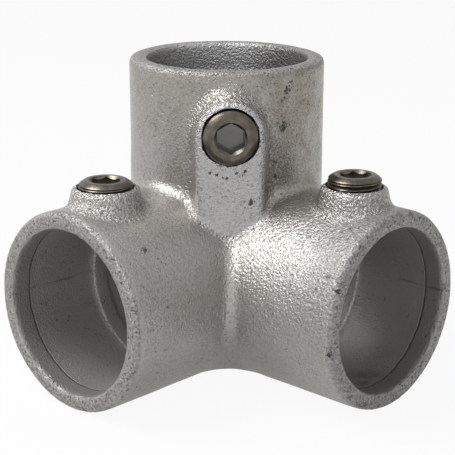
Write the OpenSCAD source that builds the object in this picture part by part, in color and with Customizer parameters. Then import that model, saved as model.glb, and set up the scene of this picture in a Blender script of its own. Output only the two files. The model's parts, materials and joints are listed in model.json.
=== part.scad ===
// Three-way corner fitting for round tube: one iron casting and three socket set screws.
// Each socket lies along one axis, and the origin is the seat of the upright tube.

/* [Tube sockets] */
// Outside diameter of the tubes
tube_d = 48.3; // [42.4:0.1:60.3]
// Play of a tube in its socket, across the diameter
tube_play = 1.2; // [0.6:0.1:1.6]
// Wall thickness of the casting
wall = 5.25; // [4.5:0.25:7]
// Depth of each socket from its mouth to the tube stop
socket_depth = 32; // [30:1:44]
// Length of the collar that stops a tube
stop_w = 5; // [3:0.5:8]
// Height of that collar above the socket wall
stop_h = 1; // [0.9:0.1:3]
// Length of the close land at each mouth
land_w = 6.5; // [4:0.5:8]
// Relief of the socket wall behind the land
land_relief = 0.2; // [0.1:0.05:0.2]
// Rounding of a mouth's outer edge
rim_round = 1.8; // [0.8:0.1:2.4]
// Rounding of a mouth's inner edge
lip_round = 0.8; // [0.4:0.1:1.2]

/* [Blends between sockets] */
// How far the hollow ball at the corner stands proud of the sockets
ball_proud = 0.4; // [0.3:0.1:1]
// Fillet between the two level sockets, in front
crotch_r = 3.5; // [3:0.5:8]
// The same fillet at the underside, where it widens
crotch_low_r = 36; // [20:1:45]
// Fillet between the upright socket and each level one
shoulder_r = 4; // [3:0.5:8]

/* [Screw bosses] */
// Distance from a level socket's mouth to the middle of its screw
level_inset = 16; // [15:0.5:18]
// Distance from the upright socket's mouth to the middle of its screw
upright_inset = 18; // [16:0.5:20]
// Height of a boss above the socket's crown
boss_rise = 5; // [4:0.5:8]
// Boss diameter at the socket's crown
boss_base_d = 22; // [21:0.5:24]
// Boss diameter at its face
boss_face_d = 19.5; // [18.5:0.5:20.5]
// Rounding of the boss's face edge
boss_round = 1; // [0.5:0.25:1.25]
// Fillet round the foot of a boss
boss_fillet = 2; // [1:0.5:3]
// How far the sloped end of the upright socket's pad spreads beyond that fillet
pad_slope = 1.5; // [0.5:0.5:2.5]
// Bevel at the mouth of a screw hole
hole_bevel = 0.4; // [0.2:0.1:0.5]

/* [Set screws] */
// Outside diameter of the screw thread
screw_d = 16.6; // [14:0.1:17]
// Clearance all round between a screw and its hole
screw_gap = 0.06; // [0.03:0.01:0.1]
// Length of a screw
screw_len = 11.5; // [10:0.5:16]
// Diameter of the flat crown round the key socket
crown_d = 12.2; // [11:0.1:13]
// Height of the crown above the first thread
crown_h = 1.7; // [1:0.1:2.5]
// Hexagon key size, across flats
key_af = 8; // [6:0.5:8]
// Depth of the key socket
key_depth = 6.5; // [4:0.5:7]
// How far the front screw is wound back from the bore
front_back = 0.95; // [0.4:0.05:4]
// How far the left screw is wound back from the bore
left_back = 0.75; // [0.4:0.05:4]
// How far the right screw is wound back from the bore
right_back = 2.15; // [0.4:0.05:4]

/* [Hidden] */
$fn = 96;

iron = [0.66, 0.66, 0.64];
steel = [0.46, 0.43, 0.39];

bore_r = (tube_d + tube_play) / 2;
outer_r = bore_r + wall;
relief_r = bore_r + land_relief;
stop_r = bore_r - stop_h;
stop_at = outer_r + stop_w;            // from the crossing of the axes to a tube's seat
reach = stop_at + socket_depth;        // from the crossing to a mouth
face_h = outer_r + boss_rise;          // from a socket's axis to its boss's face
hole_r = screw_d / 2 + screw_gap;
key_r = key_af / 2 / cos(30);          // to the corners of the key socket
key_lead = 0.8;                        // depth of the bevel at its mouth
thread_depth = 0.6;                    // step from the crown's skirt out to the thread
point_edge = 1.4;                      // bevel of the screw's point
cup_r = 5;
cup_depth = 1.5;
front_angle = 0;                       // turn of each screw's hexagon
left_angle = 45;
right_angle = -45;

// Turns that lay the pattern socket along Z, X and Y, with its boss to the front or up
front = [0, 0, 45];
left = [180, -90, 0];
right = [-90, -90, 0];
ways = [front, left, right];

function screw_at(way) = reach - (way == front ? upright_inset : level_inset);
function pad_len(way) = way == front ? screw_at(way) : 0;

sink = 0.3;                            // how far a fillet's edges reach below what it blends
spine = 2;                             // depth of a fillet's hidden inner corner
foot_steps = 4;                        // facets across a boss's fillet
crotch_steps = 10;                     // facets across a fillet between sockets
path_steps = 36;                       // facets along that fillet
round_steps = 48;                      // facets round a boss
end_angle = 84;                        // tilt at which such a fillet ends, inside the ball
widen_from = -20;                      // tilts between which the front fillet widens
widen_to = -66;
over = 1;                              // how far a cut runs past the face it opens

// Puts what is drawn about the crossing of the axes, on the pattern socket, in its place
module on_socket(way) translate([0, 0, -stop_at]) rotate(way) children();

// Closed skin over a list of rings of points: a tube with end caps, or a loop if it closes
module skin(rings, loop = false) {
    n = len(rings);
    m = len(rings[0]);
    points = [for (ring = rings) each ring];
    sides = [
        for (i = [0:n - (loop ? 1 : 2)], j = [0:m - 1])
            let (a = i * m + j, b = i * m + (j + 1) % m,
                 c = (i + 1) % n * m + (j + 1) % m, d = (i + 1) % n * m + j)
            each [[a, b, c], [a, c, d]]
    ];
    caps = [
        for (j = [1:m - 2])
            each [[0, j + 1, j], [(n - 1) * m, (n - 1) * m + j, (n - 1) * m + j + 1]]
    ];
    polyhedron(points, loop ? sides : concat(sides, caps), convexity = 6);
}

// Outside of one socket, from the crossing to its rounded mouth
module socket_shell() rotate_extrude() {
    square([outer_r, reach - rim_round]);
    square([outer_r - rim_round, reach]);
    translate([outer_r - rim_round, reach - rim_round]) circle(rim_round);
}

// Everything that is hollow in one socket
module socket_bore() rotate_extrude() {
    polygon([
        [0, 0], [bore_r, 0], [bore_r, outer_r], [stop_r, outer_r], [stop_r, stop_at],
        [relief_r, stop_at], [relief_r, reach - land_w], [bore_r, reach - land_w],
        [bore_r, reach + over], [0, reach + over]
    ]);
    difference() {
        translate([0, reach - lip_round]) square([bore_r + lip_round, lip_round + over]);
        translate([bore_r + lip_round, reach - lip_round]) circle(lip_round);
    }
}

// Half section of a boss: radius across, distance from the socket's axis up
module boss_section() {
    draft = atan((boss_base_d - boss_face_d) / 2 / boss_rise);
    mid = [boss_face_d / 2 - boss_round * tan(45 - draft / 2), face_h - boss_round];
    polygon([
        [0, bore_r], [boss_base_d / 2, bore_r], [boss_base_d / 2, outer_r],
        mid + boss_round * [cos(draft), sin(draft)], [mid.x, face_h], [0, face_h]
    ]);
    translate(mid) circle(boss_round);
}

// Boss at a screw, with a pad of that length that runs from it towards the crossing
module boss(at, pad) {
    translate([0, 0, at]) rotate([0, 90, 0]) rotate_extrude() boss_section();
    if (pad > 0) translate([0, 0, at - pad]) linear_extrude(pad)
        for (side = [0, 1]) mirror([0, side]) rotate(-90) mirror([1, 0]) boss_section();
}

// Fillet round the foot of a boss or pad, which turns into a slope at a pad's outer end
function crown(y) = sqrt(outer_r ^ 2 - y ^ 2);
function mix(a, b, t) = a + (b - a) * t;
function bend(a, b, c, t) = mix(mix(a, b, t), mix(b, c, t), t);

module boss_foot(at, pad) {
    wall_r = boss_base_d / 2;
    draft = (boss_base_d - boss_face_d) / 2 / boss_rise;
    slope_top = boss_rise - 1.5 * boss_round;   // ends the slope just under the rounded face edge
    straight = 0.7;                             // how nearly straight the slope is
    skin([
        for (i = [0:round_steps - 1])
            let (turn = (i + 0.5) * 360 / round_steps,
                 mid = at - (cos(turn) < 0 ? pad : 0),
                 slope = pad > 0 ? max(0, cos(turn)) ^ 2 : 0,
                 rise = mix(boss_fillet, slope_top, slope),
                 toe_r = wall_r + boss_fillet + pad_slope * slope,
                 foot_h = crown(wall_r * sin(turn)),
                 top = [wall_r - sink - max(0, foot_h + rise - outer_r) * draft, foot_h + rise],
                 toe = [toe_r, crown(toe_r * sin(turn)) - sink],
                 corner = mix([wall_r, foot_h], (top + toe) / 2, straight * slope),
                 section = [
                     [wall_r - spine, foot_h - spine], [wall_r - spine, top.y],
                     for (k = [0:foot_steps]) bend(top, corner, toe, k / foot_steps)
                 ])
            [for (p = section) [p.y, p.x * sin(turn), mid + p.x * cos(turn)]]
    ], loop = true);
}

// Fillet between sockets along X and Y: the path of a ball, which grows where the fillet widens
function ease(t) = max(0, min(1, t)) ^ 3;

module crotch(front_r, low_r) {
    skin([
        for (i = [0:path_steps])
            let (tilt = end_angle * (1 - 2 * i / path_steps),
                 r = mix(front_r, low_r, ease((tilt - widen_from) / (widen_to - widen_from))),
                 c = cos(tilt),
                 s = sin(tilt),
                 ball = (outer_r + r) * [c, c, s],
                 half = acos(s ^ 2) / 2,
                 mid = [-c / 2, -c / 2, -s] / cos(half),
                 side = [c / 2, -c / 2, 0] / sin(half))
            [
                (outer_r - spine) * [c, c, s],
                [(outer_r + r) * c, (outer_r - sink) * c, (outer_r - sink) * s],
                for (k = [1:crotch_steps - 1])
                    let (a = half * (1 - 2 * k / crotch_steps))
                    ball + r * (cos(a) * mid + sin(a) * side),
                [(outer_r - sink) * c, (outer_r + r) * c, (outer_r - sink) * s]
            ]
    ]);
}

// The casting: three sockets that meet in a ball, with their bosses and fillets
module casting() color(iron) difference() {
    union() {
        translate([0, 0, -stop_at]) {
            sphere(outer_r + ball_proud);
            crotch(crotch_r, crotch_low_r);
            rotate([90, 0, 0]) mirror([0, 0, 1]) crotch(shoulder_r, shoulder_r);
            rotate([90, 0, 90]) crotch(shoulder_r, shoulder_r);
        }
        for (way = ways) on_socket(way) {
            socket_shell();
            boss(screw_at(way), pad_len(way));
            boss_foot(screw_at(way), pad_len(way));
        }
    }
    translate([0, 0, -stop_at]) sphere(bore_r + ball_proud);
    for (way = ways) on_socket(way) {
        socket_bore();
        translate([0, 0, screw_at(way)]) rotate([0, 90, 0]) {
            cylinder(h = face_h + over, r = hole_r);
            translate([0, 0, face_h - hole_bevel - over])
                cylinder(h = hole_bevel + 2 * over, r1 = hole_r - over, r2 = hole_r + hole_bevel + over);
        }
    }
}

// Socket set screw with a cup point, drawn from its point up
module set_screw() {
    r = screw_d / 2;
    difference() {
        rotate_extrude() polygon([
            [0, 0], [r - point_edge, 0], [r, point_edge], [r, screw_len - crown_h],
            [r - thread_depth, screw_len - crown_h + thread_depth], [crown_d / 2, screw_len],
            [0, screw_len]
        ]);
        translate([0, 0, -over])
            cylinder(h = cup_depth + over, r1 = cup_r * (1 + over / cup_depth), r2 = 0);
        translate([0, 0, screw_len - key_depth])
            cylinder(h = key_depth + over, r = key_r, $fn = 6);
        translate([0, 0, screw_len - key_lead])
            cylinder(h = key_lead + over, r1 = key_r - key_lead, r2 = key_r + over);
    }
}

// A set screw in its hole, wound back from the bore, with its hexagon turned
module screw_in(way, back, turn) color(steel) on_socket(way)
    translate([bore_r + back, 0, screw_at(way)]) rotate([0, 90, 0]) rotate(turn) set_screw();

module front_set_screw() screw_in(front, front_back, front_angle);
module left_set_screw() screw_in(left, left_back, left_angle);
module right_set_screw() screw_in(right, right_back, right_angle);

casting();
front_set_screw();
left_set_screw();
right_set_screw();
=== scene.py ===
import json
import math
from functools import reduce
from types import SimpleNamespace

import bmesh
import bpy
import numpy as np
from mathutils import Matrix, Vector, noise


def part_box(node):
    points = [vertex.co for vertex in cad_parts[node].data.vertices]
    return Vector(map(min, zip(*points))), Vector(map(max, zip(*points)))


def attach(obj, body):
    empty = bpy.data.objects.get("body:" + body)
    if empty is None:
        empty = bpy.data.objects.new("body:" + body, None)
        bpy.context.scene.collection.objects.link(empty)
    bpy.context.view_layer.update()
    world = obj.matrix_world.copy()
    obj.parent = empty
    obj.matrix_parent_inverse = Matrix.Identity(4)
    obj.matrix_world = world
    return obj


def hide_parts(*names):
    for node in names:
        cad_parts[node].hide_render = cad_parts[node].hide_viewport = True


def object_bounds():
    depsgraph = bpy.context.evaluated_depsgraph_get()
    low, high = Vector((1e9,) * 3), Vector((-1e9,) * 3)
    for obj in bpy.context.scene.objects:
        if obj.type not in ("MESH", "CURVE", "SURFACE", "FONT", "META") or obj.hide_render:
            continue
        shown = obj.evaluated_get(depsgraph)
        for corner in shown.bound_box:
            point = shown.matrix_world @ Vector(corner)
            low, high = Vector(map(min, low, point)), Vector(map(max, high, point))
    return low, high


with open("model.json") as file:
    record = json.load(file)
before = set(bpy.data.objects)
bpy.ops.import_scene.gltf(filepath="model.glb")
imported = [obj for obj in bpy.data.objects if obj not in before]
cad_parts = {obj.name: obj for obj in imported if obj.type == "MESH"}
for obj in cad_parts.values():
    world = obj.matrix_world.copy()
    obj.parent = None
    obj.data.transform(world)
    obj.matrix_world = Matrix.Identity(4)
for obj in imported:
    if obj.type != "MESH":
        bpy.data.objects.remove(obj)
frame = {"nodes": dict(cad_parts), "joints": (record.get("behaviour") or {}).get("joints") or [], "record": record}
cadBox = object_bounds()
print("frame loaded:", ", ".join(sorted(frame["nodes"])))

mm = 0.001
scene = bpy.context.scene
scene.view_settings.view_transform = "Standard"

# the fitting's own layout, from the frame: where the three axes cross, and how far each mouth is
mounts = {m["name"]: m for m in frame["record"]["mounts"]}
crossing = Vector((0, 0, mounts["left_socket"]["pos_m"][2]))
axes = {name: Vector(m["axis"]) for name, m in mounts.items()}
boreR = mounts["left_socket"]["dims"]["r_mm"] * mm
stopAt = mounts["left_socket"]["pos_m"][0]      # crossing to a tube's seat
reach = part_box("casting")[1].x                  # crossing to a mouth


class Wire:  # one socket of a node tree, which takes Python's arithmetic
    def __init__(self, tree, socket):
        self.tree = tree
        self.socket = socket

    def make(self, kind, settings=None, inputs=None, out=0):  # any node: settings first, then sockets
        node = self.tree.nodes.new("ShaderNode" + kind)
        for name, value in (settings or {}).items():
            setattr(node, name, value)
        for name, value in (inputs or {}).items():
            if isinstance(value, Wire):
                self.tree.links.new(value.socket, node.inputs[name])
            else:
                node.inputs[name].default_value = value
        return Wire(self.tree, node.outputs[out])

    def output(self, name):  # another output of the same node
        return Wire(self.tree, self.socket.node.outputs[name])

    def math(self, operation, *others):
        return self.make("Math", {"operation": operation}, dict(enumerate((self,) + others)))

    def __add__(self, other):
        return self.math("ADD", other)

    def __sub__(self, other):
        return self.math("SUBTRACT", other)

    def __rsub__(self, other):
        return self.make("Math", {"operation": "SUBTRACT"}, {0: other, 1: self})

    def __mul__(self, other):
        return self.math("MULTIPLY", other)

    def __truediv__(self, other):
        return self.math("DIVIDE", other)

    def __abs__(self):
        return self.math("ABSOLUTE")

    __radd__ = __add__
    __rmul__ = __mul__

    def larger(self, other):
        return self.math("MAXIMUM", other)

    def vector(self, operation, other, out=0):
        return self.make("VectorMath", {"operation": operation}, {0: self, 1: other}, out)

    def step(self, low, high):  # smooth step from 0 at low to 1 at high, either way round
        limits = {"Value": self, "From Min": low, "From Max": high}
        return self.make("MapRange", {"interpolation_type": "SMOOTHSTEP"}, limits)

    def blend(self, a, b):  # value a where this is 0, b where it is 1
        return self * (b - a) + a

    def mix(self, a, b):  # colour a where this is 0, b where it is 1
        return self.make("Mix", {"data_type": "RGBA"}, {0: self, 6: a, 7: b}, out=2)

    def noise(self, size, detail=2.0, roughness=0.5, twist=0.0):  # features of that size, in metres
        inputs = {"Vector": self, "Scale": 1 / size, "Detail": detail, "Roughness": roughness,
                  "Distortion": twist}
        return self.make("TexNoise", {"noise_dimensions": "3D"}, inputs)

    def mask(self, name):  # a value kept on the mesh's points
        return self.make("Attribute", {"attribute_name": name}, out="Fac")

    def into(self, socket):
        self.tree.links.new(self.socket, socket)


def grey(value, warmth=0.0, blueLoss=1.6):  # linear, with more red and less blue the warmer it is
    return (value * (1 + warmth), value, value * (1 - blueLoss * warmth), 1)


def newMaterial(name):
    material = bpy.data.materials.new(name)
    material.use_nodes = True
    tree = material.node_tree
    tree.nodes.clear()
    shader = tree.nodes.new("ShaderNodeBsdfPrincipled")
    output = tree.nodes.new("ShaderNodeOutputMaterial")
    tree.links.new(shader.outputs[0], output.inputs[0])
    coords = Wire(tree, tree.nodes.new("ShaderNodeTexCoord").outputs["Object"])
    return material, shader, coords


# camera at the photograph's place: metres, degrees, and the lens in millimetres
cameraView = {
    "place": (0.3093, 0.28844, 0.10383),
    "turn": (73.25, -0.32, 133.03),
    "lens": 109.38,
    "nearest": 0.01,        # what is closer than that isn't drawn
}


def addCamera():
    data = bpy.data.cameras.new("camera")
    data.lens = cameraView["lens"]
    data.clip_start = cameraView["nearest"]
    camera = bpy.data.objects.new("camera", data)
    camera.location = cameraView["place"]
    camera.rotation_euler = [math.radians(a) for a in cameraView["turn"]]
    scene.collection.objects.link(camera)
    scene.camera = camera


# soft boxes: azimuth from +X and elevation in degrees, distance and side in metres, power in watts
studio = {
    "lamps": {
        "key": {"azimuth": -35, "elevation": 52, "distance": 0.9, "side": 0.5, "power": 7},
        "fill": {"azimuth": 60, "elevation": 35, "distance": 1.2, "side": 0.9, "power": 0.5},
    },
    "room": 0.25,           # light of the room on what isn't shiny
    "bright": (-20, 35),    # azimuth and elevation of the room's brightest side
    "dim": 0.52,            # its darkest side, as a share of that one
    "fade": (-0.7, 0.8),    # from darkest to brightest, as the cosine of the angle to that side
    "floorSide": 6.0,
    "floorTone": grey(0.85),
    "floorRough": 0.9,
    "floorGlow": 0.93,      # share of plain white in the floor
    "floorInMetal": 1.0,    # and where the metal mirrors it
    "contact": (0.035, 0.1, 0.38),   # painted contact shadow in the floor as metal mirrors it: dimmest within, full from, and at its dimmest
}


def direction(azimuth, elevation):
    a, e = math.radians(azimuth), math.radians(elevation)
    return Vector((math.cos(e) * math.cos(a), math.cos(e) * math.sin(a), math.sin(e)))


def addLamps():
    centre = (cadBox[0] + cadBox[1]) / 2
    for name, lamp in studio["lamps"].items():
        away = direction(lamp["azimuth"], lamp["elevation"])
        data = bpy.data.lights.new(name, "AREA")
        data.energy = lamp["power"]
        data.size = lamp["side"]
        light = bpy.data.objects.new(name, data)
        light.location = centre + away * lamp["distance"]
        light.rotation_euler = away.to_track_quat("Z", "Y").to_euler()
        scene.collection.objects.link(light)


def seen(start, straight, mirrored):  # those values for what the camera sees straight, and in metal or glass
    path = start.make("LightPath")
    shiny = path.output("Is Glossy Ray").larger(path.output("Is Transmission Ray"))
    return (path.output("Is Camera Ray") * straight).larger(shiny * mirrored)


def addRoom():
    world = bpy.data.worlds.new("room")
    world.use_nodes = True
    tree = world.node_tree
    tree.nodes.clear()
    start = Wire(tree, tree.nodes.new("ShaderNodeTexCoord").outputs["Generated"])
    towards = start.vector("DOT_PRODUCT", direction(*studio["bright"]), out="Value")
    lit = towards.step(*studio["fade"]) * (1 - studio["dim"]) + studio["dim"]
    dark = start.make("Background", None, {"Strength": studio["room"], "Color": grey(1)})
    white = start.make("Background", None, {"Strength": 1.0, "Color": grey(1)})
    both = start.make("MixShader", None, {0: seen(start, 1.0, lit), 1: dark, 2: white})
    both.into(tree.nodes.new("ShaderNodeOutputWorld").inputs[0])
    scene.world = world


def addFloor():
    half = studio["floorSide"] / 2
    low = cadBox[0].z
    mesh = bpy.data.meshes.new("floor")
    corners = [(-half, -half, low), (half, -half, low), (half, half, low), (-half, half, low)]
    mesh.from_pydata(corners, [], [(0, 1, 2, 3)])
    floor = bpy.data.objects.new("floor", mesh)
    scene.collection.objects.link(floor)
    material, shader, coords = newMaterial("paleFloor")
    shader.inputs["Base Color"].default_value = studio["floorTone"]
    shader.inputs["Roughness"].default_value = studio["floorRough"]
    glow = coords.make("Emission", None, {"Strength": 1.0})
    # painted contact shadow: the floor's glow seen in metal is dimmed near the object
    near, far, left = studio["contact"]
    under = Vector(((cadBox[0].x + cadBox[1].x) / 2, (cadBox[0].y + cadBox[1].y) / 2, low))
    clear = coords.vector("DISTANCE", under, out="Value").step(near, far).blend(left, 1)
    glowing = seen(coords, studio["floorGlow"], clear * studio["floorInMetal"])
    both = coords.make("MixShader", None, {0: glowing, 1: Wire(coords.tree, shader.outputs[0]), 2: glow})
    both.into(coords.tree.nodes["Material Output"].inputs[0])
    mesh.materials.append(material)


def smoothStep(values, low, high):
    t = np.clip((values - low) / (high - low), 0, 1)
    return t * t * (3 - 2 * t)


def beyond(base, edges):  # edges that are given from a base
    return [base + edge for edge in edges]


def noiseAt(points, size):
    return np.array([noise.noise(Vector(p)) for p in points / size])


def keepValues(mesh, name, values):
    attribute = mesh.attributes.new(name, "FLOAT", "POINT")
    attribute.data.foreach_set("value", values.astype(np.float32))


def pointsOf(mesh, field="co"):
    values = np.zeros(len(mesh.vertices) * 3)
    mesh.vertices.foreach_get(field, values)
    return values.reshape(-1, 3)


def movePoints(mesh, points):
    mesh.vertices.foreach_set("co", points.ravel())
    mesh.update()


def placePiece(name, mesh, body, node, material):
    mesh.name = name
    mesh.polygons.foreach_set("use_smooth", np.ones(len(mesh.polygons), bool))
    mesh.materials.clear()
    mesh.materials.append(material)
    piece = bpy.data.objects.new(name, mesh)
    scene.collection.objects.link(piece)
    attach(piece, body)
    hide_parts(node)


def ringMesh(name, line, rings, count):  # closed skin over rings of (radius, height) about a screw's line
    angles = np.arange(count) * 2 * math.pi / count
    around = np.outer(np.cos(angles), line["side"]) + np.outer(np.sin(angles), line["other"])
    points = [np.array(line["foot"]) + around * np.reshape(r, (-1, 1))
              + np.outer(np.broadcast_to(h, count), line["axis"]) for r, h in rings]
    index = np.arange(count)
    following = (index + 1) % count
    faces = [index[::-1].tolist(), (index + (len(rings) - 1) * count).tolist()]
    for k in range(len(rings) - 1):
        low, high = k * count, (k + 1) * count
        faces += np.stack([low + index, low + following, high + following, high + index], 1).tolist()
    mesh = bpy.data.meshes.new(name)
    mesh.from_pydata(np.concatenate(points).tolist(), [], faces)
    return mesh


# the set screws: turned steel, with a rolled thread and a hexagon socket
setScrew = {
    "sides": 180,
    "crest": 7.95 * mm,
    "root": 7.3 * mm,
    "pitch": 1.3 * mm,
    "rows": 10,                          # rows of points in one pitch
    "flank": (1.35, 0.17),               # steepness of the thread's sides, and how flat its crests are
    "groove": 0.3,                       # depth of the first groove under the shoulder, in pitches
    "threadEnds": (0.05 * mm, 0.03 * mm),   # how far the thread stays from the point and the shoulder
    "point": 1.4 * mm,                   # bevel of the point
    "cup": (5 * mm, 1.5 * mm),           # radius and depth of the hollow in the point
    "tip": 0.02 * mm,                    # radius where a cone is closed
    "crown": [(7.75, 1.15), (7.65, 0.98), (7.3, 0.72), (6.9, 0.45), (6.55, 0.22), (6.3, 0.08), (6.05, 0.01),
              (5.9, 0)],                 # rounded shoulder: radius and depth below the crown, in mm
    "key": 8 * mm,                       # across flats
    "keyMatch": 0.02 * mm,               # how close to the hexagon's corners a CAD point is one of them
    "keyDepth": 6.5 * mm,
    "keyMouth": 4.85 * mm,               # radius of the bevel round the key socket
    "keyFillet": (0.2 * mm, 0.95),       # at its floor: height, and the share of the hexagon that is left
    "keyDrill": (3.2 * mm, 0.05 * mm, 0.9 * mm),   # cone in that floor: radius, depth of its rim and its tip
    "threadCore": 6.3 * mm,              # what is wider than this below the crown is thread, with painted shade in its grooves
    "cleanCrest": 0.1 * mm,              # and this much of each crest stays free of that shade
    "mouthEdge": 0.1 * mm,               # how far within its mouth the key socket starts
    "socketFrom": (-0.5 * mm, -2 * mm),  # from the crown: where the key socket's lighter, less metallic colour starts and is full
    "sharp": 35,                         # degrees between faces at a sharp edge
    "tones": (grey(0.09, 0.14), grey(0.14, 0.10)),
    "socketTone": grey(0.42, 0.02),
    # painted shade in the thread's grooves, nearly black
    "grime": grey(0.02, 0.05),
    "grimeShare": 0.85,                  # how fully it hides the steel
    "smear": (2.5 * mm, 3.0, 0.6),       # noises: size, detail and roughness
    "fine": (0.25 * mm, 2.0, 0.5),
    "smearLevels": (0.35, 0.65),         # from the first tone to the second
    "rough": {"plain": 0.22, "fine": 0.14, "groove": 0.25, "socket": 0.25},
    "socketDull": 0.7,                   # how much less metallic the key socket is
    "lathe": 0.16,                       # spacing of the turned lines, in mm
    "relief": {"lathe": 0.25, "fine": 0.6},
    "bump": 0.5,
    "depth": 0.02 * mm,                  # height of the relief
}


def screwLine(joint):  # where a set screw stands: its axis, point and hexagon, from the frame
    s = setScrew
    node = joint["child"].split("_")[0] + "_set_screw"
    cad = pointsOf(frame["nodes"][node].data)
    axis = Vector(joint["axis"]).normalized()
    along = cad @ np.array(axis)
    across = cad - np.outer(along, axis)
    middle = (across.min(0) + across.max(0)) / 2
    away = np.linalg.norm(across - middle, axis=1)
    onKey = np.abs(away - s["key"] / math.sqrt(3)) < s["keyMatch"]
    corner = (across - middle)[np.argmin(np.where(onKey, along, np.inf))]
    side = Vector(corner).normalized()
    foot = Vector(middle) + axis * along.min()
    return {"node": node, "body": joint["child"], "axis": axis, "side": side, "other": axis.cross(side),
            "foot": foot, "height": (foot - crossing).dot(axis), "length": along.max() - along.min()}


def threadRadius(depths, turns):  # depths below the shoulder
    s = setScrew
    steep, crest = s["flank"]
    phase = (depths / s["pitch"] - s["groove"] + turns) % 1
    slope = np.clip(np.abs(phase - 0.5) * 2 * steep - crest, 0, 1)   # flat crests and roots
    return s["crest"] - (s["crest"] - s["root"]) * slope


def screwRings(length):  # from the cup, up the thread, over the crown and into the key socket
    s = setScrew
    angles = np.arange(s["sides"]) * 2 * math.pi / s["sides"]
    turns = angles / (2 * math.pi)
    sixth = math.pi / 3
    hexagon = s["key"] / 2 / np.cos(angles % sixth - sixth / 2)
    flat = np.ones(s["sides"])
    cupR, cupDepth = s["cup"]
    rings = [(s["tip"] * flat, cupDepth), (cupR * flat, 0.0), ((s["crest"] - s["point"]) * flat, 0.0)]
    top = length - s["crown"][0][1] * mm
    fromPoint, fromCrown = s["threadEnds"]
    for h in np.linspace(fromPoint, top - fromCrown, int(top / s["pitch"] * s["rows"])):
        limit = min(s["crest"] - s["point"] + h, s["crest"])
        rings.append((np.minimum(threadRadius(top - h, turns), limit), h))
    rings += [(r * mm * flat, length - depth * mm) for r, depth in s["crown"]]
    lead = s["keyMouth"] - hexagon              # how far the bevel reaches down at each side of the hexagon
    rings.append((s["keyMouth"] * flat, length))
    rings.append((hexagon, length - lead))
    floor = length - s["keyDepth"]
    filletHeight, filletShare = s["keyFillet"]
    rings.append((hexagon, floor + filletHeight))
    rings.append((hexagon * filletShare, floor))
    drillR, drillRim, drillTip = s["keyDrill"]
    rings.append((drillR * flat, floor - drillRim))
    rings.append((s["tip"] * flat, floor - drillTip))
    return rings


def screwSteel():
    s, rough = setScrew, setScrew["rough"]
    material, shader, coords = newMaterial("screwSteel")
    radius, groove, socket = (coords.mask(name) for name in ("radius", "groove", "socket"))
    smear = coords.noise(*s["smear"])
    fine = coords.noise(*s["fine"])
    tone = socket.mix(smear.step(*s["smearLevels"]).mix(*s["tones"]), s["socketTone"])
    # painted shade darkens the thread's grooves
    (groove * s["grimeShare"]).mix(tone, s["grime"]).into(shader.inputs["Base Color"])
    gloss = rough["plain"] + fine * rough["fine"] + groove * rough["groove"] + socket * rough["socket"]
    gloss.into(shader.inputs["Roughness"])
    (1 - socket * s["socketDull"]).into(shader.inputs["Metallic"])
    lathe = (radius * (2 * math.pi / s["lathe"])).math("SINE")
    relief = lathe * s["relief"]["lathe"] + fine * s["relief"]["fine"]
    bump = coords.make("Bump", None, {"Height": relief, "Strength": s["bump"], "Distance": s["depth"]})
    bump.into(shader.inputs["Normal"])
    return material


def makeScrew(line, material):
    s = setScrew
    length = line["length"]
    rings = screwRings(length)
    name = line["node"].split("_")[0] + "Screw"
    mesh = ringMesh(name, line, rings, s["sides"])
    radius = np.concatenate([r for r, h in rings])
    height = np.concatenate([np.broadcast_to(h, s["sides"]) for r, h in rings])
    # the groove mask carries the painted shade of the thread's roots
    threaded = (height < length - s["crown"][0][1] * mm) & (radius > s["threadCore"])
    groove = np.where(threaded, smoothStep(radius, s["crest"] - s["cleanCrest"], s["root"]), 0)
    inside = (radius < s["keyMouth"] - s["mouthEdge"]) & (height > s["cup"][1])
    socket = inside * smoothStep(height, *beyond(length, s["socketFrom"]))
    keepValues(mesh, "radius", radius / mm)
    keepValues(mesh, "groove", groove)
    keepValues(mesh, "socket", socket)
    placePiece(name, mesh, line["body"], line["node"], material)
    mesh.set_sharp_from_angle(angle=math.radians(s["sharp"]))


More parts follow.
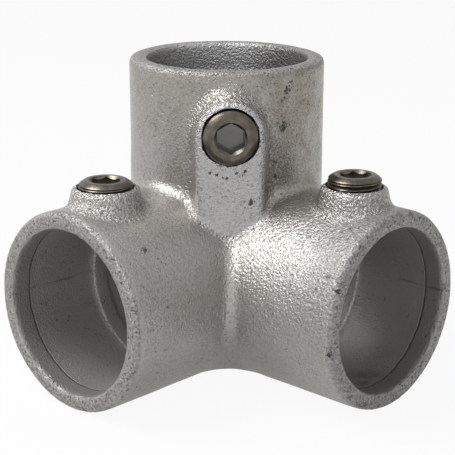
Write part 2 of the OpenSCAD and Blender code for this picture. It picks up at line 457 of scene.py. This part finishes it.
# the casting: rough iron under a coat of zinc
castIron = {
    "weld": 0.002 * mm,                  # CAD points closer than this are one
    "voxel": 0.9 * mm,
    "relax": 2,                          # smoothing passes after the remesh
    "fillet": 2.2 * mm,                  # least radius in its outer corners
    "fillPasses": 40,
    "fillShare": 0.5,                    # share of what is too hollow that one pass fills
    "swells": (0.14 * mm, 17 * mm),      # height and size of the slow waves of a sand casting
    "lumps": (0.07 * mm, 4.5 * mm),
    "boreShare": 0.4,                    # how much of that is left on the cored walls
    "cornerEdge": (1.6 * mm, 1.0 * mm),  # from the bore's radius: where the hollow corner starts and is full
    "boreEdge": (0.75 * mm, 0.35 * mm),  # and the same for the wall of a bore
    "rim": (reach - 1.9 * mm, reach - 0.6 * mm),   # where the end of a socket starts and is full
    "boss": (14 * mm, 12 * mm),          # from the screw's axis: where a boss's foot starts and is full
    "face": 35 * mm,                     # from a socket's axis to its boss's face
    "hole": 8.36 * mm,                   # radius of a screw hole
    "holeWall": 0.15 * mm,               # how far outside that a point still is on the hole's wall
    "holeEdge": (-0.05 * mm, -0.4 * mm),   # from the face: where that wall starts and is full
    "lipEdge": (1.3 * mm, 0.6 * mm),     # from the hole's radius: where the torn lip starts and is full
    "lipDepth": (-0.6 * mm, -0.3 * mm),  # and from the face
    "padSkin": (0.7 * mm, 0.4 * mm),     # from the pad's plane: where the pad starts and is full
    "padHalf": 10.86 * mm,               # half its width
    "padEnd": (18 * mm, 20 * mm),        # over the crossing: where its lower end starts and is full
    "plug": (1.5 * mm, 0.1 * mm),        # filling of a screw hole: how far from the bore, and how much wider
    "drillSides": 96,
    "overshoot": 1 * mm,                 # how far a drill starts above the face
    "holeBevel": 0.4 * mm,
    "ragged": (0.8 * mm, 0.12),          # unevenness of that bevel, and its size in radii
    "runs": (0.34 * mm, 0.6),            # how far zinc has run into the hole, and the size of a run in radii
    "runLevels": (-0.2, 0.35),           # where a run starts and is full
    "runPlace": 3,                       # another part of the noise than the bevel's
    "ridge": (0.038 * mm, 0.114 * mm),   # how far a point stands above its neighbours on an edge
    "valley": (0.019 * mm, 0.051 * mm),  # and lies below them in a fillet
    "sharp": 40,                         # degrees between faces at a sharp edge
}


def applied(mesh, modifiers):  # the mesh after those modifiers
    thing = bpy.data.objects.new("rough", mesh)
    scene.collection.objects.link(thing)
    for kind, settings in modifiers:
        modifier = thing.modifiers.new(kind.lower(), kind)
        for name, value in settings.items():
            setattr(modifier, name, value)
    result = bpy.data.meshes.new_from_object(thing.evaluated_get(bpy.context.evaluated_depsgraph_get()))
    bpy.data.objects.remove(thing)
    return result


def pluggedCasting(lines):  # the casting with its screw holes filled, so that they can be drilled clean
    s = castIron
    fromBore, wider = s["plug"]
    shell = bmesh.new()
    shell.from_mesh(frame["nodes"]["casting"].data)
    bmesh.ops.remove_doubles(shell, verts=shell.verts, dist=s["weld"])
    for line in lines:
        low, high = (h - line["height"] for h in (boreR + fromBore, s["face"]))
        wide = s["hole"] + s["holeBevel"] + wider
        shell.from_mesh(ringMesh("plug", line, [(wide, low), (wide, high)], s["drillSides"]))
    mesh = bpy.data.meshes.new("plugged")
    shell.to_mesh(mesh)
    shell.free()
    return mesh


def hollowAt(mesh, points, normals):  # how far each point lies below the mean of its neighbours
    edges = np.zeros(len(mesh.edges) * 2, int)
    mesh.edges.foreach_get("vertices", edges)
    a, b = edges.reshape(-1, 2).T
    ends, others = np.concatenate([a, b]), np.concatenate([b, a])
    count = np.bincount(ends, minlength=len(points))
    total = np.stack([np.bincount(ends, points[others, i], len(points)) for i in range(3)], 1)
    return np.einsum("ij,ij->i", total / count[:, None] - points, normals)


def fillCorners(mesh, keep):  # rounds the inner corners of the outside, as molten iron and zinc leave them
    s = castIron
    points, normals = pointsOf(mesh), pointsOf(mesh, "normal")
    allowed = s["voxel"] ** 2 / (4 * s["fillet"])   # how hollow a fillet of that radius is
    for k in range(s["fillPasses"]):
        below = hollowAt(mesh, points, normals)
        points = points + normals * (np.clip(below - allowed, 0, None) * s["fillShare"] * keep)[:, None]
    return points


def castingMasks(points, lines):  # from 0 to 1, how far each point belongs to each place
    s = castIron
    rel = points - np.array(crossing)
    bore = smoothStep(np.linalg.norm(rel, axis=1), *beyond(boreR, s["cornerEdge"]))
    rim = np.zeros(len(rel))
    for axis in axes.values():
        along = rel @ np.array(axis)
        around = np.linalg.norm(rel - np.outer(along, axis), axis=1)
        bore = np.maximum(bore, smoothStep(around, *beyond(boreR, s["boreEdge"])) * (along > 0))
        rim = np.maximum(rim, smoothStep(along, *s["rim"]))
    boss, hole, lip = np.zeros((3, len(rel)))
    for line in lines:
        off = points - np.array(line["foot"])
        height = off @ np.array(line["axis"])
        away = np.linalg.norm(off - np.outer(height, line["axis"]), axis=1)
        height = height + line["height"]
        boss = np.maximum(boss, smoothStep(away, *s["boss"]) * (height > boreR))
        inside = smoothStep(height, *beyond(s["face"], s["holeEdge"])) * (height > 0)
        hole = np.maximum(hole, inside * (away < s["hole"] + s["holeWall"]))
        nearFace = smoothStep(height, *beyond(s["face"], s["lipDepth"]))
        lip = np.maximum(lip, smoothStep(away, *beyond(s["hole"], s["lipEdge"])) * nearFace)
    forward = rel @ np.array(axes["left_socket"] + axes["right_socket"]) / math.sqrt(2)
    sideways = np.abs(rel @ np.array(axes["left_socket"] - axes["right_socket"])) / math.sqrt(2)
    pad = smoothStep(np.abs(forward - s["face"]), *s["padSkin"]) * (sideways < s["padHalf"])
    pad *= smoothStep(rel[:, 2], *s["padEnd"])
    return {"bore": bore, "rim": rim * (1 - bore), "pad": pad, "boss": boss * (1 - bore), "hole": hole,
            "lip": lip * (1 - hole)}


def castSkin(lines):  # the casting before drilling, with softened corners and the waves of its mould
    s = castIron
    remesh = ("REMESH", {"mode": "VOXEL", "voxel_size": s["voxel"]})
    mesh = applied(pluggedCasting(lines), [remesh, ("SMOOTH", {"iterations": s["relax"]})])
    bore = castingMasks(pointsOf(mesh), lines)["bore"]
    points = fillCorners(mesh, 1 - bore)
    movePoints(mesh, points)
    lift = sum(h * noiseAt(points + size, size) for h, size in (s["swells"], s["lumps"]))
    lift *= 1 - (1 - s["boreShare"]) * bore
    movePoints(mesh, points + pointsOf(mesh, "normal") * lift[:, None])
    return mesh


def drilled(mesh, lines):  # with a hole for each screw, ragged at its edge and narrowed by runs of zinc
    s = castIron
    ragged, raggedSize = s["ragged"]
    run, runSize = s["runs"]
    turn = np.arange(s["drillSides"]) * 2 * math.pi / s["drillSides"]
    drills = []
    for line in lines:
        levels = (boreR / 2, s["face"] - s["holeBevel"], s["face"] + s["overshoot"])
        low, edge, high = (h - line["height"] for h in levels)
        circle = np.stack([np.cos(turn), np.sin(turn), turn * 0 + line["foot"].x], 1)
        wide = s["hole"] + s["holeBevel"] + s["overshoot"] + ragged * noiseAt(circle, raggedSize)
        narrow = s["hole"] - run * smoothStep(noiseAt(circle + s["runPlace"], runSize), *s["runLevels"])
        rings = [(narrow, low), (narrow, edge), (wide, high)]
        drill = bpy.data.objects.new("drill", ringMesh("drill", line, rings, s["drillSides"]))
        scene.collection.objects.link(drill)
        drills.append(drill)
    cut = {"operation": "DIFFERENCE", "solver": "MANIFOLD"}
    mesh = applied(mesh, [("BOOLEAN", cut | {"object": drill}) for drill in drills])
    for drill in drills:
        bpy.data.objects.remove(drill)
    return mesh


def makeCasting(lines):
    s = castIron
    mesh = drilled(castSkin(lines), lines)
    masks = castingMasks(pointsOf(mesh), lines)
    hollow = hollowAt(mesh, pointsOf(mesh), pointsOf(mesh, "normal"))
    masks["ridge"] = smoothStep(-hollow, *s["ridge"])
    masks["valley"] = smoothStep(hollow, *s["valley"]) * (1 - masks["bore"])
    for name, values in masks.items():
        keepValues(mesh, name, values)
    placePiece("castBody", mesh, "fitting", "casting", castZinc())
    mesh.set_sharp_from_angle(angle=math.radians(s["sharp"]))
    print("casting:", len(mesh.vertices), "points")


# the zinc coat: greys as linear values, sizes in metres
zinc = {
    # the level sockets are painted lighter than the upright one: painted light that evens out how each is lit
    "tones": (grey(0.385, 0.045), grey(0.435, 0.02)),
    "upperTones": (grey(0.29, 0.065), grey(0.34, 0.035)),   # the upright socket
    "padTone": grey(0.42, 0.01),
    "rimTone": grey(0.27, 0.03),
    "stain": grey(0.23, 0.12),           # painted shade, brown and in patches, on the right of the upright socket
    "stainFrom": (-5 * mm, 25 * mm),     # from left to right: where it starts and is full
    "stainShare": 0.8,
    "bright": grey(0.52, 0.01),          # painted highlight on the tops of the hammered relief and on the edges
    "topShare": 0.5,                     # how bright the painted highlight on the tops is beside the edges
    # what the marks darken to: real specks, pits and seams, and painted shade in hollows, creases, screw holes and
    # at the land's end
    "dirt": grey(0.05, 0.06),
    "bore": (grey(0.34, 0.02), grey(0.44, 0.02)),
    "upperBore": (grey(0.2, 0.02), grey(0.55, 0.0)),   # painted shade on its right side and painted light on its back wall
    "sideFrom": (2 * mm, 28 * mm),       # from left to right: where that side starts and is full
    "backFrom": (-20 * mm, -34 * mm),    # and from the back to the front for the wall
    "boreClean": 0.5,                    # how much less painted shade in the hollows a bore has
    "right": (-2 * mm, 8 * mm),          # from left to right: where the right socket starts and is full
    "mouthOut": (-24 * mm, -3 * mm),     # its rougher end, with painted shade where the glare fades, from the mouth
    "mouthUp": (-8 * mm, 10 * mm),       # and from its axis
    "land": 6.5 * mm,                    # length of the close land inside each level mouth
    "landTone": grey(0.285, 0.02),
    "landShare": 0.8,
    "landEdge": (-0.3 * mm, 0.3 * mm),   # how softly it ends
    "landLine": (0.5 * mm, 0.15 * mm),   # line at its end: half its width, and where it is full
    "landWaver": 0.8 * mm,
    "seamFrom": (0, 1 * mm),             # from a tube's seat: where the core's seam starts and is full
    "seamLine": (0.5 * mm, 0.1 * mm),
    "seamWander": 2.2 * mm,
    "ringTone": grey(0.75, 0.0),         # painted highlight on the edge of the ring that stops a tube
    "ringLine": (0.45 * mm, 0.15 * mm),
    "noises": {                          # size, detail, roughness and twist
        "hammer": (0.78 * mm, 2.0, 0.55, 0.3),
        "grain": (0.45 * mm, 1.0, 0.5),
        "cloud": (22 * mm, 3.0, 0.55),
        "patch": (7 * mm, 2.0, 0.5),
        "crust": (0.85 * mm, 2.0, 0.6),
        "speck": (0.8 * mm, 2.0, 0.6),
        "sponge": (0.7 * mm, 2.0, 0.6),
        "waver": (2.5 * mm, 2.0),
        "wander": (6 * mm, 2.0),
    },
    "levels": {                          # where each mark starts in its noise, and where it is full
        "cloud": (0.3, 0.7), "stain": (0.3, 0.6), "glint": (0.4, 0.55), "tops": (0.42, 0.66),
        "specks": (0.60, 0.69), "speckPatch": (0.38, 0.6), "torn": (0.56, 0.64), "stipple": (0.54, 0.68),
        "patches": (0.35, 0.6), "creases": (0.4, 0.58), "sponge": (0.95, 1.25), "ring": (0.35, 0.5),
        "hollows": (0.45, 0.3), "fineHollows": (0.4, 0.25),
    },
    "depth": 0.42 * mm,                  # height of the relief
    "relief": {"plain": 0.55, "right": 0.95, "boss": 1.7, "valley": 1.4, "pad": 0.8, "rim": 1.2,
               "bore": 0.6, "upperBore": 1.1, "grain": 0.35},   # share of that in each place
    "carved": {"specks": 0.3, "stipple": 0.35, "lines": 0.5, "pits": 0.8},   # and how deep the marks are
    "rough": {"plain": 0.29, "boss": 0.25, "rim": 0.45, "bore": 0.42, "mouth": 0.5,
              "grain": 0.2, "dark": 0.2},
    "metal": {"plain": 0.8, "bore": 0.35, "rim": 0.2, "dark": 0.4},   # how metallic, and how much less there
    "dark": {"grime": 0.16, "specks": 0.7, "stipple": 0.8, "lines": 1.0, "pits": 0.95, "soot": 0.8,
             "creases": 0.55},           # how dark each mark is
    # how dark the painted shadow line at the land's end and the core's seam are
    "lines": {"land": 0.75, "seam": 0.5},
    "spongeWeight": 3,                   # weight of the noise against the distance from a spongy place
    "pits": [                            # spongy places: from the crossing of the axes, and reach, in mm
        ((5.5, 29.5, 61), 2.0), ((4.2, 29.7, 63.5), 1.4), ((9.6, 28.4, 39.6), 1.6),
        ((6.5, 29.3, 50), 2.2), ((20.3, 29.2, 29.6), 1.5), ((9.2, 28.6, 35.5), 1.0),
        ((29.2, 66.3, -5.3), 1.6), ((26.1, 66.7, 13), 1.6), ((55.6, 21, 21.3), 1.8),
        ((28.9, 20.6, 38.6), 0.6), ((27.6, 21.9, 37.9), 0.8), ((26.4, 23.1, 37.2), 0.6),
        ((25.4, 24.1, 36.9), 0.9), ((23.6, 25.9, 38.3), 0.8), ((22.3, 27.2, 37.9), 0.6),
        ((21.7, 27.8, 39.4), 0.9),
    ],
    "soot": ((-2, 56, -25), 8, 1),       # a sooty place in the right bore: its reach, and where it is full
    "creases": (52 * mm, 46 * mm),       # painted shade in the creases beside the pad: heights where it starts and is full
}
landAt = reach - zinc["land"]


def zincSkin(coords):  # what is known of each point: masks kept on the mesh, noises and places
    s = zinc
    names = ("bore", "rim", "pad", "boss", "hole", "lip", "ridge", "valley")
    masks = {name: coords.mask(name) for name in names}
    noises = {name: coords.noise(*settings) for name, settings in s["noises"].items()}
    skin = SimpleNamespace(coords=coords, **masks, **noises)
    split = coords.make("SeparateXYZ", None, {"Vector": coords})
    skin.x, skin.y, skin.z = (split.output(name) for name in "XYZ")
    skin.across = skin.y - skin.x            # from left to right
    skin.outward = skin.x.larger(skin.y)     # along the level sockets
    skin.upper = skin.z.step(crossing.z + boreR, crossing.z + stopAt)
    skin.right = skin.across.step(*s["right"]) * (1 - skin.upper)
    # the right socket's upper end: rougher, with painted shade where its glare fades
    skin.mouth = skin.y.step(*beyond(reach, s["mouthOut"])) * skin.z.step(*beyond(crossing.z, s["mouthUp"]))
    skin.torn = skin.lip.larger(skin.pad * (1 - skin.pad) * 4)   # round the screws and the pad
    return skin


def reliefShare(skin):  # how high the hammered relief stands in each place
    share = zinc["relief"]
    height = skin.boss.blend(skin.right.blend(share["plain"], share["right"]), share["boss"])
    height = skin.pad.blend(height.larger(skin.valley * share["valley"]), share["pad"])
    height = skin.rim.blend(height, share["rim"])
    return skin.bore.blend(height, skin.upper.blend(share["bore"], share["upperBore"]))


def outerTone(skin, height):
    s, level = zinc, zinc["levels"]
    cloudy = skin.cloud.step(*level["cloud"])
    tone = skin.upper.mix(cloudy.mix(*s["tones"]), cloudy.mix(*s["upperTones"]))
    # painted shade, brown and in patches, on the right of the upright socket
    shadedRight = skin.upper * skin.across.step(*s["stainFrom"]) * skin.patch.step(*level["stain"])
    tone = (shadedRight * s["stainShare"]).mix(tone, s["stain"])
    # rims, and the right socket's end with its painted shade, take the rim tone
    tone = skin.rim.larger(skin.mouth).mix(skin.pad.mix(tone, s["padTone"]), s["rimTone"])
    # painted highlights on the edges, round the screws and the pad, and on the tops of the relief
    glint = skin.ridge.larger(skin.torn) * skin.grain.step(*level["glint"])
    tops = skin.hammer.step(*level["tops"]) * height * s["topShare"]
    return glint.larger(tops).mix(tone, s["bright"])


def boreTone(skin):
    s = zinc
    side, back = s["upperBore"]
    # painted light on the upright bore's back wall, and painted shade on its right side
    tone = (skin.upper * (skin.x + skin.y).step(*s["backFrom"])).mix(skin.grain.mix(*s["bore"]), back)
    tone = (skin.upper * skin.across.step(*s["sideFrom"])).mix(tone, side)
    close = skin.outward.step(*beyond(landAt, s["landEdge"]))
    return (close * (1 - skin.upper) * s["landShare"]).mix(tone, s["landTone"])


def ringHighlight(skin):
    s = zinc
    # painted highlight on the edge of the stop ring
    ring = abs(skin.x - stopAt).step(*s["ringLine"]).larger(abs(skin.y - stopAt).step(*s["ringLine"]))
    return ring * skin.bore * skin.grain.step(*s["levels"]["ring"])


def boreLines(skin):  # a painted shadow line at the end of the close land in each level mouth, and the core's seam
    s, share = zinc, zinc["lines"]
    waver = (skin.waver - 0.5) * s["landWaver"]
    # painted shadow line where the close land ends
    land = abs(skin.x - landAt + waver).step(*s["landLine"])
    land = land.larger(abs(skin.y - landAt + waver).step(*s["landLine"]))
    wander = (skin.wander - 0.5) * s["seamWander"]
    seam = abs(skin.z - crossing.z + wander).step(*s["seamLine"])
    seam = seam * skin.outward.step(*beyond(stopAt, s["seamFrom"]))
    seam = seam * skin.patch.step(*s["levels"]["patches"])
    return (land * share["land"]).larger(seam * share["seam"]) * skin.bore


def awayFrom(skin, place):  # distance from a place that is given in mm from the crossing
    return skin.coords.vector("DISTANCE", crossing + Vector(place) * mm, out="Value")


def pitsAndHoleShade(skin):  # with painted shade on the walls of the screw holes, as dark as the pits
    s = zinc
    pits = skin.hole
    sponge = skin.sponge * s["spongeWeight"]
    for place, size in s["pits"]:
        pits = pits.larger((sponge - awayFrom(skin, place) / (size * mm)).step(*s["levels"]["sponge"]))
    return pits


def zincMarks(skin):  # all that darkens the coat
    s, level = zinc, zinc["levels"]
    # painted shade in the hollows of the hammered relief
    grime = skin.hammer.step(*level["hollows"]).larger(skin.grain.step(*level["fineHollows"]))
    specks = skin.speck.step(*level["specks"]) * skin.patch.step(*level["speckPatch"])
    # painted shade in the creases beside the pad
    creases = skin.valley * skin.upper * skin.z.step(*beyond(crossing.z, s["creases"]))
    place, size, core = s["soot"]
    soot = awayFrom(skin, place).step(size * mm, core * mm) * skin.patch.step(*level["patches"])
    return {
        "grime": grime * (1 - skin.bore * s["boreClean"]),
        "specks": specks.larger(skin.torn * skin.crust.step(*level["torn"])),
        "stipple": skin.crust.step(*level["stipple"]) * skin.rim,
        "lines": boreLines(skin),
        "pits": pitsAndHoleShade(skin),
        "soot": soot * skin.bore,
        "creases": creases * skin.crust.step(*level["creases"]),
    }


def castZinc():
    s, rough, metal = zinc, zinc["rough"], zinc["metal"]
    material, shader, coords = newMaterial("castZinc")
    skin = zincSkin(coords)
    height = reliefShare(skin)
    marks = zincMarks(skin)
    dark = reduce(Wire.larger, [mask * s["dark"][name] for name, mask in marks.items()])

    tone = skin.bore.mix(outerTone(skin, height), boreTone(skin))
    tone = ringHighlight(skin).mix(tone, s["ringTone"])
    dark.mix(tone, s["dirt"]).into(shader.inputs["Base Color"])

    gloss = skin.boss.blend(skin.mouth.blend(rough["plain"], rough["mouth"]), rough["boss"])
    gloss = skin.bore.blend(skin.rim.blend(gloss, rough["rim"]), rough["bore"])
    (gloss + (skin.grain - 0.5) * rough["grain"] + dark * rough["dark"]).into(shader.inputs["Roughness"])
    bright = metal["plain"] - skin.bore * (1 - skin.upper) * metal["bore"]
    (bright - skin.rim * metal["rim"] - dark * metal["dark"]).into(shader.inputs["Metallic"])

    relief = skin.hammer * height + skin.grain * s["relief"]["grain"]
    for name, depth in s["carved"].items():
        relief = relief - marks[name] * depth
    bump = coords.make("Bump", None, {"Height": relief, "Strength": 1.0, "Distance": s["depth"]})
    bump.into(shader.inputs["Normal"])
    return material


addCamera()
addLamps()
addRoom()
addFloor()
print("studio ready")
screwLines = [screwLine(joint) for joint in frame["joints"]]
makeCasting(screwLines)
steel = screwSteel()
for line in screwLines:
    makeScrew(line, steel)
print("set screws:", len(screwLines))
